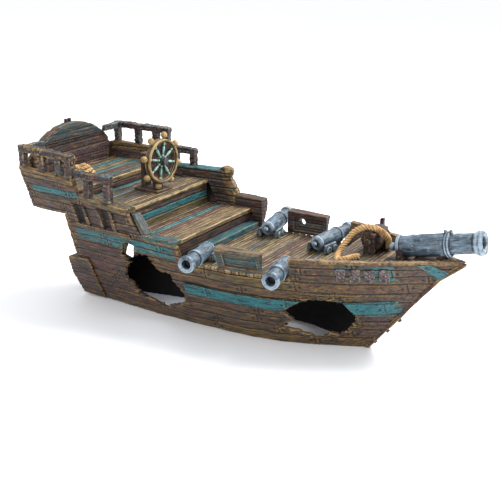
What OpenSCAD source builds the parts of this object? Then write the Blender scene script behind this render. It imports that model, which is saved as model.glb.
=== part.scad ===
// Shipwreck ornament for an aquarium: a bottomless hollow hull with broken planking,
// stepped decks, rails, five guns, a turning ship's wheel and an air line inside.
// +X is the bow, +Y is port, z = 0 is the plane that the hull's rim stands on.

/* [Hull] */
// Thickness of the hull's shell
hull_wall = 4; // [3.5:0.5:5]
// Height of the sill under the gun ports
sill_z = 57.5; // [56:0.5:58]
// Thickness of every deck
deck_t = 3; // [2.5:0.5:3]

/* [Ship's wheel] */
// Height of the wheel's centre
wheel_z = 119.5; // [119:0.5:122]
// Turn of the wheel and its stand towards starboard, in degrees
wheel_yaw = 6; // [0:0.5:20]
// Outer radius of the wheel's rim
rim_r = 17.5; // [16:0.5:18]
// Length of each handle beyond the rim
handle_len = 4.5; // [3:0.5:5]
// Radius of the axle
axle_r = 2; // [1.5:0.1:2.4]
// Radial running clearance between the axle and the hub's bore
axle_play = 0.06; // [0.04:0.01:0.08]

/* [Guns] */
// Length of a side gun from its knob to its muzzle
gun_len = 50; // [48:1:52]
// Radius of a side gun's breech
gun_r = 6; // [5.5:0.1:6.2]
// Length of the bow gun from its knob to its muzzle
bow_gun_len = 68.6; // [66:0.2:72]
// Radius of the bow gun's breech
bow_gun_r = 8.4; // [8:0.1:8.8]

/* [Air line] */
// Radius of the spigot that a 4 mm airline pushes onto
spigot_r = 2.15; // [2:0.05:2.25]
// Length of the spigot outside the hull
spigot_len = 12; // [10:1:14]
// Height of the air line above the base
air_z = 50; // [48:0.5:51]

/* [Hidden] */
$fn = 48;
TOP = 126;                 // top of the solid that the hull is cut from
LEVELS = [0, 0.17, 0.34, 0.5, 0.67, 0.84, 1];
// Hull lines: x at the foot, x at the sheer, half breadth at each, height of the sheer
LINES = [
    [-186, -186, 8, 60, 118],
    [-150, -150, 13, 64, 116],
    [-120, -120, 16, 66, 113],
    [-95, -95, 20, 64, 100],
    [-70, -70, 23, 62, 90],
    [-35, -35, 25, 61, 77],
    [12, 12, 26, 61, 76],
    [37, 40, 23, 58, 76],
    [60, 68, 16, 52, 76],
    [78, 103, 9, 37, 76],
    [88, 130, 4.5, 22, 76],
    [94, 153, 1.8, 7, 76],
    [96, 165, 0.8, 0.8, 76]
];
LAST = len(LINES) - 1;
INNER_LAST = LAST - 2;     // forward of this station the bow is solid
gap = 0.15;                // glue line between parts that only touch

// Long profile: where each step of the upper works starts and ends
poop_aft = -176;
poop_fwd = -120;
quarter_fwd = -73;
lower_fwd = -32;
bow_aft = 57;
counter_z = 80;
main_top = sill_z + deck_t;
lower_top = 76;
upper_top = 95;
poop_top = 104;
forecastle_top = 72;
deck_half = 51;            // half breadth of the quarterdecks between their caps
stern_x = -143;            // aft end of the lower hull
board_t = 4;               // thickness of the stern board and the transom

// ---- helpers ----
function mix(a, b, t) = a + (b - a) * t;
function rake(t) = 0.93 * t + 0.07 * pow(t, 8);
function half_at(s, t, inset) = max(mix(s[2], s[3], pow(t, 0.9)) - inset, 0.4);
function x_at(s, t) = mix(s[0], s[1], rake(t));
function side_point(s, t, inset) = [x_at(s, t), half_at(s, t, inset), t * s[4]];
function side_line(s, inset, low, high) = concat(
    low < 0 ? [[x_at(s, 0), half_at(s, 0, inset), low]] : [],
    [for (t = LEVELS) side_point(s, t, inset)],
    [[x_at(s, 1), half_at(s, 1, inset), high]]
);
// A closed ring: up the port side, then down the other side or the plane y = mid
function ring(line, full, mid) = concat(line,
    [for (i = [len(line) - 1:-1:0]) [line[i][0], full ? -line[i][1] : mid, line[i][2]]]);

// The hull as a solid, whole or from the plane y = mid out to the port side
module loft(inset = 0, low = 0, high = TOP, mid = 0, full = false, first = 0, last = LAST) {
    rings = [for (i = [first:last]) ring(side_line(LINES[i], inset, low, high), full, mid)];
    n = len(rings[0]);
    m = len(rings);
    points = [for (r = rings) each r];
    quads = [for (i = [0:m - 2]) for (j = [0:n - 1])
        let (k = (j + 1) % n)
        each [[(i + 1) * n + k, i * n + k, i * n + j], [(i + 1) * n + j, (i + 1) * n + k, i * n + j]]];
    ends = [for (j = [0:n / 2 - 2]) let (p = n - 1 - j, f = (m - 1) * n)
        each [[p - 1, p, j], [j + 1, p - 1, j], [f + p, f + p - 1, f + j], [f + p - 1, f + j + 1, f + j]]];
    polyhedron(points, concat(quads, ends), convexity = 6);
}

// A shape drawn in side view and run across the ship from y0 to y1
module slab(points, y0 = -100, y1 = 100) {
    translate([0, y1, 0]) rotate([90, 0, 0]) linear_extrude(y1 - y0) polygon(points);
}

// A part of the port side moved to starboard when s is negative
module on_side(s) {
    if (s > 0) children();
    else mirror([0, 1, 0]) children();
}

// A layer of thickness t on the outside of the hull, inside a side-view outline
module skin(t, outline, first = 0, last = LAST) {
    difference() {
        intersection() {
            loft(inset = -t, first = first, last = last);
            slab(outline, 1, 90);
        }
        loft(low = -1, high = TOP + 1, mid = -1, first = first, last = last);
    }
}

// A box between two corners
module block(a, b) {
    translate(a) cube(b - a);
}

// ---- hull ----
hull_profile = [
    [stern_x - 4, -5], [stern_x - 4, 0], [stern_x - 2, 20], [stern_x, 45], [stern_x + 3, counter_z],
    [poop_aft, counter_z], [poop_aft, 112], [poop_fwd, 108], [poop_fwd, 97],
    [quarter_fwd, 92], [quarter_fwd + 9, lower_top - deck_t], [lower_fwd, lower_top - deck_t],
    [lower_fwd, sill_z], [bow_aft - 2, sill_z], [bow_aft, 75], [168, 75], [168, -5]
];
aft_hole = [
    [-97, 31], [-87, 50], [-75, 57], [-65, 57], [-58, 46], [-47, 45], [-44, 38], [-38, 28],
    [-39, 22], [-44, 18], [-56, 14], [-62, 11], [-73, 13], [-84, 17], [-93, 20], [-89, 26]
];
fwd_hole = [
    [44, 31], [60, 41], [71, 43], [87, 41], [92, 33], [93, 27], [91, 22], [87, 17], [79, 12],
    [74, 12], [67, 8], [60, 9], [52, 13], [38, 14], [44, 18], [49, 24]
];
stern_hole = [[-89, 61], [-83, 66], [-78, 64], [-79, 55], [-86, 50], [-91, 53]];
port_stern_hole = [[-144, 25], [-144, 33], [-140, 36], [-135, 34], [-133.5, 28], [-136, 23.5]];
port_fwd_hole = [[18, 30], [27, 43], [45, 47], [62, 41], [66, 30], [56, 23], [38, 21], [26, 22]];

module hull_half() {
    difference() {
        loft();
        loft(inset = hull_wall, low = -1, high = TOP + 1, mid = -1, last = INNER_LAST);
    }
}
module hull_starboard() {
    color("#6b4a34") on_side(-1) difference() {
        intersection() {
            hull_half();
            slab(hull_profile, -5, 90);
        }
        slab(aft_hole, 5, 90);
        slab(fwd_hole, 5, 90);
        slab(stern_hole, 5, 90);
    }
}
module hull_port() {
    color("#644631") difference() {
        intersection() {
            hull_half();
            slab(hull_profile, -5, 90);
        }
        slab(port_stern_hole, 5, 90);
        slab(port_fwd_hole, 5, 90);
    }
}
module stern_board() {
    face = [[stern_x - 4, 0], [stern_x - 2, 20], [stern_x, 45], [stern_x + 3, counter_z]];
    back = [for (i = [3:-1:0]) face[i] - [board_t, 0]];
    color("#5a3f2e") difference() {
        intersection() {
            loft(full = true, last = 2);
            slab(concat(face, back));
        }
        translate([stern_x - 12, 0, air_z]) rotate([0, 90, 0]) cylinder(r = inlet_r, h = 24);
    }
}
skeg_profile = [
    [-132, 1.5], [-157, 1.5], [-160, 24], [-157, 38], [-134, 40], [-133, 30]
];
module stern_skeg() {
    inside = [
        [-100, -1], [stern_x - 4 - board_t, -1], [stern_x - 4 - board_t, 0],
        [stern_x - 2 - board_t, 20], [stern_x - board_t, 45], [-100, 45]
    ];
    color("#5d4a3c") difference() {
        intersection() {
            loft(inset = -2, full = true, last = 3);
            slab(skeg_profile);
        }
        intersection() {
            loft(low = -1, high = TOP + 1, full = true, last = 3);
            slab(inside);
        }
        slab(port_stern_hole, 5, 90);
    }
}
module stem_post() {
    outline = [[90, 0], [97.8, 0], [119.5, 25.8], [130, 38.5], [149, 61], [165.5, 73.5], [165.5, 75],
               [150, 75], [110, 40]];
    color("#4e382b") difference() {
        slab(outline, -2.2, 2.2);
        loft(low = -1, high = TOP + 1, full = true, first = 8);
    }
}
stem_run = [[101.5, 5.8], [110.8, 16.1], [119.6, 25.8]];
module stem_bolts() {
    color("#26272a") for (p = stem_run)
        translate([p[0] - 0.6, 0, p[1] + 0.6]) rotate([0, 135, 0]) cylinder(r = 1.5, h = 2.6);
}
wale = [[-38, 31], [0, 30], [60, 30], [112, 31], [122, 43], [60, 41], [0, 40], [-34, 41]];
module wale_starboard() {
    color("#2f8f93") on_side(-1) difference() {
        skin(1.4, wale, 5, LAST);
        slab(fwd_hole, 5, 90);
        slab(aft_hole, 5, 90);
    }
}
module wale_port() {
    color("#2f8f93") difference() {
        skin(1.4, wale, 5, LAST);
        slab(port_fwd_hole, 5, 90);
    }
}

// ---- stern ----
module counter_floor() {
    color("#4a3529") intersection() {
        loft(inset = hull_wall + gap, full = true, last = 3);
        slab([[poop_aft, counter_z], [stern_x + 3.2, counter_z], [stern_x + 3.2, counter_z + deck_t],
              [poop_aft, counter_z + deck_t]]);
    }
}
arch_r = 67;
arch_z = 75;
arch_front = poop_aft + 3;
module transom_board() {
    color("#4b3a31") {
        intersection() {
            loft(full = true, last = 2);
            block([poop_aft - 3, -80, counter_z], [poop_aft, 80, 116]);
        }
        intersection() {
            translate([poop_aft - 3, 0, arch_z]) rotate([0, 90, 0]) cylinder(r = arch_r, h = 6, $fn = 96);
            union() {
                block([poop_aft - 3, -53, 100], [poop_aft, 53, 150]);
                block([poop_aft - 1, -47, 100], [arch_front, 47, 150]);
            }
        }
    }
}
module transom_lunette() {
    color("#2d8a8e") intersection() {
        translate([arch_front, 0, arch_z]) rotate([0, 90, 0]) cylinder(r = arch_r - 1, h = 1.4, $fn = 96);
        block([arch_front, -60, 129], [arch_front + 1.4, 60, 150]);
    }
}
module transom_knob() {
    color("#2c2320") for (y = [-2.2, 2.2])
        translate([poop_aft - 1.5, y, arch_z + arch_r - 0.4]) cylinder(r = 1.5, h = 3.2);
}
module transom_rails() {
    color("#4f5f5c") for (s = [-1, 1]) on_side(s) {
        block([arch_front + gap, 38.3, 128.5], [arch_front + 4, 57, 133.5]);
    }
}
strake = [[poop_aft, 112], [poop_fwd, 108], [poop_fwd, 113], [poop_aft, 117]];
module poop_strakes() {
    color("#9a7a3c") for (s = [-1, 1]) on_side(s) intersection() {
        difference() {
            loft(inset = -2, last = 3);
            loft(inset = hull_wall, low = -1, high = TOP + 1, mid = -1, last = 3);
        }
        slab(strake, 1, 90);
    }
}
// A handrail on posts; a and b are [x, y, z at the foot, z at the top] of its two ends
module rail_run(a, b, posts, w = 5.4, cap = 5) {
    run = norm([b[0] - a[0], b[1] - a[1]]);
    function foot(u) = mix(a[2], b[2], u / run);
    function head(u) = mix(a[3], b[3], u / run);
    translate([a[0], a[1], 0]) rotate([0, 0, atan2(b[1] - a[1], b[0] - a[0])]) {
        for (u = posts) slab([[u - w / 2, foot(u - w / 2)], [u + w / 2, foot(u + w / 2)],
            [u + w / 2, head(u + w / 2) - cap], [u - w / 2, head(u - w / 2) - cap]], -w / 2, w / 2);
        slab([[-w / 2, head(-w / 2) - cap], [run + w / 2, head(run + w / 2) - cap],
            [run + w / 2, head(run + w / 2)], [-w / 2, head(-w / 2)]], -w / 2 - 0.4, w / 2 + 0.4);
    }
}
poop_rail_a = [-172.4, 60.2, 116.8, 134];
poop_rail_b = [-122.8, 64.2, 113.3, 132];
module poop_rail_starboard() {
    color("#7a6038") on_side(-1) rail_run(poop_rail_a, poop_rail_b, [0, 21, 39, 49.6]);
}
module poop_rail_port() {
    color("#4d4640") rail_run(poop_rail_a, poop_rail_b, [0, 21, 39, 49.6]);
}
module quarter_rail_starboard() {
    color("#3f6664") on_side(-1)
        rail_run([-117.2, 61.2, 100.8, 119.5], [-91, 60, 98, 118.5], [8, 26]);
}
module quarter_rail_port() {
    color("#4d4640") rail_run([-117.2, 57, 104, 119.5], [-91, 56.6, 104.4, 118.5], [8, 26]);
}
module quarter_cap_starboard() {
    color("#7f8a52") on_side(-1) intersection() {
        loft(inset = -1.5, first = 1, last = 5);
        slab([[poop_fwd, 97], [quarter_fwd, 92], [quarter_fwd, 96], [poop_fwd, 101]],
             deck_half + gap, 90);
    }
}
// A slanted board that closes the step between the quarterdecks at the starboard side
module quarter_knee_starboard() {
    color("#4f7f7c") on_side(-1)
        slab([[quarter_fwd + 0.3, 91.8], [quarter_fwd + 4, 91.8], [quarter_fwd + 14.5, lower_top + 1.2],
              [quarter_fwd + 9.5, lower_top + 1.2]], deck_half - 0.5, 58);
}
module quarter_bulwark_port() {
    color("#3d5f60") {
        intersection() {
            loft(first = 1, last = 5);
            slab([[poop_fwd, 97], [quarter_fwd, 92], [quarter_fwd + 9, lower_top - deck_t],
                  [-48, lower_top - deck_t], [-48, 86], [-58, 103], [-62, 104.5], [poop_fwd, 104]],
                 deck_half + gap, 61);
        }
        translate([-59.5, deck_half + 1, 104]) rotate([-90, 0, 0]) cylinder(r = 3.4, h = 8);
    }
}
module lower_cap_starboard() {
    color("#4c8f90") on_side(-1) intersection() {
        loft(inset = -1.2, first = 3, last = 6);
        slab([[quarter_fwd + 9, lower_top - deck_t], [lower_fwd, lower_top - deck_t],
              [lower_fwd, lower_top + 1], [quarter_fwd + 9, lower_top + 1]], deck_half + gap, 90);
    }
}
module waist_bulwark_port() {
    color("#4a4038") intersection() {
        loft(first = 4, last = 6);
        union() {
            slab([[-48 + gap, lower_top - deck_t], [lower_fwd, lower_top - deck_t], [lower_fwd, 84.5],
                  [-48 + gap, 85.5]], deck_half + gap, 90);
            slab([[lower_fwd, main_top + gap], [-22, main_top + gap], [-22, 84], [lower_fwd, 84.5]],
                 deck_half + gap, 90);
        }
    }
}
batten_x = [-131, -119, -104, -91];
module gallery(s) {
    on_side(s) {
        for (x = batten_x) skin(1.6, [[x, 75], [x + 3, 75], [x + 3, 92], [x, 92]], 1, 4);
        skin(1.6, [[-140, 71.5], [-76, 70], [-76, 74.4], [-140, 74.6]], 0, 5);
    }
}
module gallery_starboard() {
    color("#8b6f4a") gallery(-1);
}
module gallery_port() {
    color("#8b6f4a") gallery(1);
}

// ---- decks ----
module deck_plate(outline, inset = 0, first = 0, last = LAST) {
    intersection() {
        loft(inset = inset, full = true, first = first, last = last);
        slab(outline);
    }
}
module poop_deck() {
    aft = arch_front + gap;
    color("#5f5a3f") deck_plate([[aft, poop_top - deck_t], [poop_fwd - 2, poop_top - deck_t],
        [poop_fwd - 2, poop_top], [aft, poop_top]], inset = hull_wall + 1.6, last = 3);
}
module poop_riser() {
    color("#4a3a30") deck_plate([[poop_fwd - 4, upper_top], [poop_fwd - 2, upper_top],
        [poop_fwd - 2, poop_top - deck_t], [poop_fwd - 4, poop_top - deck_t]],
        inset = hull_wall + 1.6, first = 1, last = 3);
}
module upper_quarterdeck() {
    color("#4c7f7d") block([poop_fwd - 4, -deck_half, upper_top - deck_t], [quarter_fwd, deck_half,
        upper_top]);
}
module upper_riser() {
    color("#2f6f70") block([quarter_fwd - 4, -deck_half, lower_top], [quarter_fwd - 2, deck_half,
        upper_top - deck_t]);
}
module lower_quarterdeck() {
    color("#b09060") block([quarter_fwd - 4, -deck_half, lower_top - deck_t], [lower_fwd, deck_half,
        lower_top]);
}
module lower_riser() {
    color("#3a2c24") deck_plate([[lower_fwd - 4, main_top], [lower_fwd - 2, main_top],
        [lower_fwd - 2, lower_top - deck_t], [lower_fwd - 4, lower_top - deck_t]],
        inset = hull_wall + 0.6, first = 4, last = 6);
}
// The step's starboard end is broken off beside the gun
module ledge_step() {
    color("#5e9a96") intersection() {
        deck_plate([[lower_fwd - 2, main_top], [lower_fwd + 7, main_top],
            [lower_fwd + 7, main_top + 5], [lower_fwd - 2, main_top + 5]],
            inset = hull_wall + 0.6, first = 4, last = 6);
        block([-50, -27, 50], [0, 60, 80]);
    }
}
module main_deck() {
    color("#6e6a48") {
        deck_plate([[lower_fwd + gap, sill_z], [bow_aft - 2 - gap, sill_z],
            [bow_aft - 2 - gap, main_top], [lower_fwd + gap, main_top]], first = 4);
        deck_plate([[lower_fwd - 4, sill_z], [lower_fwd + gap, sill_z], [lower_fwd + gap, main_top],
            [lower_fwd - 4, main_top]], inset = hull_wall + 3, first = 4);
        deck_plate([[bow_aft - 2 - gap, sill_z], [76, sill_z], [76, main_top],
            [bow_aft - 2 - gap, main_top]], inset = hull_wall + 3, first = 4);
    }
}
module forecastle_deck() {
    base = forecastle_top - deck_t;
    color("#6f6548") deck_plate([[74, base], [150, base], [150, forecastle_top], [74, forecastle_top]],
        inset = hull_wall + 1.2, first = 7, last = INNER_LAST);
}
module forecastle_riser() {
    base = forecastle_top - deck_t;
    color("#44342a") deck_plate([[74, main_top], [76, main_top], [76, base], [74, base]],
        inset = hull_wall + 4, first = 7, last = INNER_LAST);
}

// ---- gunwales and bow ----
module gunwale(s) {
    on_side(s) difference() {
        intersection() {
            loft(first = 4, last = 8);
            slab([[1, main_top], [36, main_top], [36, 77.5], [1, 78.5]], deck_half + 0.5, 90);
        }
        if (s > 0) translate([14, 40, 70.5]) rotate([-90, 0, 0]) cylinder(r = 2.8, h = 40);
    }
}
module gunwale_starboard() {
    color("#3e7f7c") gunwale(-1);
}
module gunwale_port() {
    color("#3a6f6e") gunwale(1);
}
module bow_caps() {
    color("#a8854a") for (s = [-1, 1]) on_side(s) intersection() {
        difference() {
            loft(inset = -0.8, first = 6);
            loft(inset = hull_wall, low = -1, high = TOP + 1, mid = -1, first = 6, last = LAST - 1);
        }
        slab([[bow_aft, 75], [168, 75], [168, 77], [bow_aft, 77]], 0, 90);
    }
}
module carved_panels() {
    color("#8f8f84") for (s = [-1, 1]) on_side(s) for (x = [86.5, 95.3, 104.1, 112.9])
        skin(1.2, [[x, 60], [x + 6, 60], [x + 6.8, 70.5], [x + 0.8, 70.5]], 7, LAST);
}
module bow_plates() {
    color("#2f8f93") for (s = [-1, 1]) on_side(s)
        skin(1.3, [[137, 74.6], [145, 74.6], [156, 66.8], [151, 62.2], [147, 62.2]], 8, LAST);
}

// ---- guns ----
// A gun along +X with its muzzle face at x = length
module gun(length, r, bore) {
    difference() {
        rotate([0, 90, 0]) rotate_extrude() polygon([
            [0, 0], [r * 0.22, 0], [r * 0.34, r * 0.2], [r * 0.22, r * 0.5], [r * 0.22, r * 0.7],
            [r * 0.75, r * 0.8], [r * 0.98, r * 1.0], [r * 0.98, r * 1.5], [r * 0.93, r * 1.6],
            [r * 0.94, length * 0.6], [r, length * 0.61], [r, length * 0.67],
            [r * 0.84, length * 0.68], [r * 0.8, length - r * 0.9],
            [r, length - r * 0.5], [r, length], [0, length]]);
        translate([length - r * 1.8, 0, 0]) rotate([0, 90, 0]) cylinder(r = bore, h = r * 2);
    }
}
// Place a gun from its knob's point towards its muzzle's point
module aim(from, to) {
    d = to - from;
    translate(from) rotate([0, -atan2(d[2], norm([d[0], d[1]])), atan2(d[1], d[0])]) children();
}
// Each side gun: its knob, a point that its muzzle aims at and how much shorter it is
GUNS = [
    [[-19.2, -31, 67.5], [-14, -74, 66], 7],
    [[45.8, -31, 67.6], [54, -73, 65.4], 7],
    [[-4, 24, 68.4], [-10, 74, 69.6], 0],
    [[45.5, 9, 68], [52.5, 59, 68.8], 0]
];
module side_gun(i) {
    aim(GUNS[i][0], GUNS[i][1]) gun(gun_len - GUNS[i][2], gun_r, gun_r * 0.55);
}
module gun_starboard_aft() {
    color("#7f93a3") side_gun(0);
}
module gun_starboard_fwd() {
    color("#7f93a3") side_gun(1);
}
module gun_port_aft() {
    color("#7f93a3") side_gun(2);
}
module gun_port_fwd() {
    color("#7f93a3") side_gun(3);
}
truck_r = 2.8;
// Two cheeks and four trucks beside each gun, standing on the main deck
module carriage(g) {
    yaw = atan2(g[1][1] - g[0][1], g[1][0] - g[0][0]);
    translate([g[0][0], g[0][1], main_top]) rotate([0, 0, yaw]) for (s = [-1, 1]) {
        cheek = s > 0 ? gun_r + 0.3 : -gun_r - 2.1;
        aft = 5 - g[2] * 0.6;
        block([aft, cheek, 0.6], [aft + 14, cheek + 1.8, 7]);
        for (x = [aft + 3, aft + 11]) translate([x, s > 0 ? cheek + 1.8 : cheek - 1.6, truck_r])
            rotate([-90, 0, 0]) cylinder(r = truck_r, h = 1.6);
    }
}
module gun_carriages() {
    color("#5d7180") for (g = GUNS) carriage(g);
}
bow_gun_from = [110.1, 0, 79.25];
bow_gun_to = [178.6, 0, 92.6];
module bow_gun() {
    color("#7f93a3") aim(bow_gun_from, bow_gun_to) gun(bow_gun_len, bow_gun_r, bow_gun_r * 0.55);
}
module bow_gun_chock() {
    color("#4b382c") difference() {
        union() {
            block([118, -9, forecastle_top], [123, 9, 81]);
            block([146, -5.5, 77], [150, 5.5, 84]);
        }
        aim(bow_gun_from, bow_gun_to) translate([6, 0, 0]) rotate([0, 90, 0])
            cylinder(r = bow_gun_r + 0.05, h = 60);
    }
}

// ---- windlass and rope ----
windlass = [95, 0, 81.4];
module windlass_bitts() {
    color("#3b2c25") for (y = [-3, 19.5])
        translate([windlass[0], y, forecastle_top]) difference() {
            union() {
                block([-4, 0, 0], [4, 3.5, 15]);
                block([-1.5, 0, 15], [1.5, 3.5, 21]);
            }
            translate([0, -1, windlass[2] - forecastle_top]) rotate([-90, 0, 0]) cylinder(r = 2.5, h = 6);
        }
}
module windlass_barrel() {
    color("#4a362b") translate([windlass[0], -6, windlass[2]]) rotate([-90, 0, 0]) rotate_extrude()
        polygon([[0, 0], [2.45, 0], [2.45, 7.7], [8.4, 8], [8.9, 16], [8.4, 24.6], [2.45, 24.8],
                 [2.45, 31], [0, 31]]);
}
rope_r = 2;
ROPE = [
    [93.5, -16.8, 74.2], [90, -22.5, 74.2], [87.5, -29, 74.2], [84.3, -31, 74.3], [81.5, -26, 74.8],
    [80.3, -18, 77.2], [82, -12, 82.5], [86.2, -8.6, 88.8], [92.5, -7, 92.6], [99.4, -5, 92.8],
    [104.6, -1, 89], [106.4, 5.4, 83], [105, 9.5, 77], [102.6, 14.4, 74.2], [97, 17.6, 74.2]
];
function knot(i) = ROPE[min(max(i, 0), len(ROPE) - 1)];
function spline(i, t) = 0.5 * ((2 * knot(i)) + (knot(i + 1) - knot(i - 1)) * t
    + (2 * knot(i - 1) - 5 * knot(i) + 4 * knot(i + 1) - knot(i + 2)) * t * t
    + (3 * knot(i) - knot(i - 1) - 3 * knot(i + 1) + knot(i + 2)) * t * t * t);
module rope_loops() {
    path = concat([for (i = [0:len(ROPE) - 2]) for (t = [0, 1 / 3, 2 / 3]) spline(i, t)],
        [ROPE[len(ROPE) - 1]]);
    m = len(path);
    sides = 8;
    function along(i) = path[min(i + 1, m - 1)] - path[max(i - 1, 0)];
    function unit(v) = v / norm(v);
    points = [for (i = [0:m - 1])
        let (d = unit(along(i)), a = unit(cross(d, [0.3, 0.1, 1])), b = cross(d, a))
        for (j = [0:sides - 1]) path[i] + rope_r * (cos(j * 360 / sides) * a + sin(j * 360 / sides) * b)];
    faces = [for (i = [0:m - 2]) for (j = [0:sides - 1]) let (k = (j + 1) % sides)
        each [[i * sides + j, i * sides + k, (i + 1) * sides + k],
              [i * sides + j, (i + 1) * sides + k, (i + 1) * sides + j]]];
    color("#c08a45") polyhedron(points, concat(faces, [[for (j = [sides - 1:-1:0]) j]],
        [[for (j = [0:sides - 1]) (m - 1) * sides + j]]), convexity = 8);
}
module rope_heap() {
    color("#c79a5a") translate([-150, -17, poop_top]) for (i = [0:2])
        translate([0, 0, i * 2.6]) rotate_extrude() translate([9 - i * 2, 1.3]) circle(r = 1.3, $fn = 24);
}

// ---- ship's wheel ----
hub_r = 3.6;
rim_t = 5;
module at_wheel() {
    translate([-84, 0, wheel_z]) rotate([0, 0, -wheel_yaw]) children();
}
// A solid turned about the wheel's axis, drawn as [radius, distance forward]
module turned(points) {
    rotate([0, 90, 0]) rotate_extrude($fn = 96) polygon(points);
}
module wheel_rim() {
    color("#8d6f3a") at_wheel() turned([[hub_r, -2], [hub_r, -0.5], [rim_r - 3, -0.5],
        [rim_r - 3, rim_t / 2], [rim_r, rim_t / 2], [rim_r, -rim_t / 2], [rim_r - 3, -rim_t / 2],
        [rim_r - 3, -2]]);
}
module wheel_spokes() {
    color("#8fc4b4") at_wheel() {
        difference() {
            translate([-2.6, 0, 0]) rotate([0, 90, 0]) cylinder(r = hub_r, h = 5.6);
            translate([-4, 0, 0]) rotate([0, 90, 0]) cylinder(r = axle_r + axle_play, h = 9);
        }
        for (i = [0:7]) rotate([i * 45 + 12, 0, 0]) intersection() {
            block([-0.5, -0.8, hub_r - 0.1], [1.4, 0.8, rim_r - 2]);
            rotate([0, 90, 0]) difference() {
                translate([0, 0, -2]) cylinder(r = rim_r - 3, h = 6);
                translate([0, 0, -3]) cylinder(r = hub_r, h = 8);
            }
        }
    }
}
module wheel_handles() {
    color("#c39a52") at_wheel() for (i = [0:7]) rotate([i * 45 + 12, 0, 0])
        translate([-0.6, 0, rim_r]) rotate_extrude() polygon([
            [0, 0], [1.1, 0], [1.1, 1], [1.9, 1.8], [1.9, handle_len - 1.2], [1.2, handle_len],
            [0, handle_len]]);
}
post_gap = 3;              // from the wheel's plane to the stand's front post
module wheel_stand() {
    color("#33261f") at_wheel() difference() {
        union() {
            block([-22, -9, upper_top - wheel_z], [2.5, 9, upper_top - wheel_z + 1.9]);
            for (x = [-post_gap - 4, -post_gap - 16])
                block([x, -4, upper_top - wheel_z + 1.9], [x + 4, 4, 5]);
            block([-post_gap - 12, -3, -13], [-post_gap - 4, 3, -6]);
        }
        translate([-30, 0, 0]) rotate([0, 90, 0]) cylinder(r = axle_r, h = 40);
    }
}
module wheel_axle() {
    color("#6b6a60") at_wheel() {
        translate([-post_gap - 16, 0, 0]) rotate([0, 90, 0]) cylinder(r = axle_r, h = post_gap + 19.3);
        translate([3.3, 0, 0]) rotate([0, 90, 0]) cylinder(r = 2.7, h = 1.6);
    }
}

// ---- air line ----
inlet_r = 3.2;             // body of the inlet where it passes the stern board
tube_r = 3;
tube_bore = 2.2;
air_end = 26;              // where the tube meets the air stone
module air_inlet() {
    back = stern_x - board_t;
    color("#3b4046") difference() {
        translate([back, 0, air_z]) rotate([0, 90, 0]) {
            translate([0, 0, -2]) cylinder(r = 5.5, h = 2);
            translate([0, 0, -spigot_len]) cylinder(r = spigot_r, h = spigot_len);
            cylinder(r = inlet_r - 0.01, h = board_t + 1);
            cylinder(r = spigot_r, h = board_t + 11);
        }
        translate([back - spigot_len - 1, 0, air_z]) rotate([0, 90, 0]) cylinder(r = 1.1, h = 40);
    }
}
module air_tube() {
    color("#cfd8dc") translate([stern_x + 1.2, 0, air_z]) rotate([0, 90, 0]) difference() {
        cylinder(r = tube_r, h = air_end - stern_x - 1.2);
        translate([0, 0, -1]) cylinder(r = tube_bore, h = 300);
    }
}
module tube_clip() {
    color("#8a949b") difference() {
        block([6, -5, air_z - 1], [14, 5, sill_z]);
        translate([0, 0, air_z]) rotate([0, 90, 0]) cylinder(r = tube_r, h = 40);
    }
}
module air_stone() {
    color("#b8b4a8") translate([air_end, 0, air_z]) rotate([0, 90, 0]) {
        translate([0, 0, -8]) cylinder(r = spigot_r, h = 9);
        cylinder(r = 6, h = 26);
    }
}

hull_starboard();
hull_port();
stern_board();
stern_skeg();
stem_post();
stem_bolts();
wale_starboard();
wale_port();
counter_floor();
transom_board();
transom_lunette();
transom_knob();
transom_rails();
poop_strakes();
poop_rail_starboard();
poop_rail_port();
quarter_rail_starboard();
quarter_rail_port();
quarter_cap_starboard();
quarter_knee_starboard();
quarter_bulwark_port();
lower_cap_starboard();
waist_bulwark_port();
gallery_starboard();
gallery_port();
poop_deck();
poop_riser();
upper_quarterdeck();
upper_riser();
lower_quarterdeck();
lower_riser();
ledge_step();
main_deck();
forecastle_deck();
forecastle_riser();
gunwale_starboard();
gunwale_port();
bow_caps();
carved_panels();
bow_plates();
gun_starboard_aft();
gun_starboard_fwd();
gun_port_aft();
gun_port_fwd();
gun_carriages();
bow_gun();
bow_gun_chock();
windlass_bitts();
windlass_barrel();
rope_loops();
rope_heap();
wheel_stand();
wheel_axle();
wheel_rim();
wheel_spokes();
wheel_handles();
air_inlet();
air_tube();
tube_clip();
air_stone();
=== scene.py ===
import math

import bmesh
import bpy
import numpy as np
from mathutils import Matrix, Vector


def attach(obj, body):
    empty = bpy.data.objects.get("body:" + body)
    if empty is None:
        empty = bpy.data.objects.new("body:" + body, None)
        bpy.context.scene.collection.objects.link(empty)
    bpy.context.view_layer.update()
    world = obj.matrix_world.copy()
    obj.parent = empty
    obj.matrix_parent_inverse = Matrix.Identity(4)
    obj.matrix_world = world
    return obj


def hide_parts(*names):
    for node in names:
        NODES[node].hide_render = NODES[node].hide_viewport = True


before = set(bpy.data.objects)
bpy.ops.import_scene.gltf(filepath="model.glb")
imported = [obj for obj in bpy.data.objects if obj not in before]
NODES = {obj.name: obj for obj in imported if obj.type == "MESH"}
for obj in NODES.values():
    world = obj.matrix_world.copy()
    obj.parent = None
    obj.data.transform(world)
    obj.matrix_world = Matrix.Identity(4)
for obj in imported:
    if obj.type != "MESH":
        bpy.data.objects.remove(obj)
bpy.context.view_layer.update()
MM = 0.001


# ---------------------------------------------------------------- numbers
def unit(v):
    v = np.asarray(v, float)
    return v / np.linalg.norm(v)


def hash01(i, j, k, seed):
    h = (i * 374761393 + j * 668265263 + k * 1274126177 + seed * 974634777) & 0xFFFFFFFF
    h = ((h ^ (h >> 13)) * 1274126177) & 0xFFFFFFFF
    return ((h ^ (h >> 16)) & 0xFFFFFF) / float(0xFFFFFF)


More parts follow.
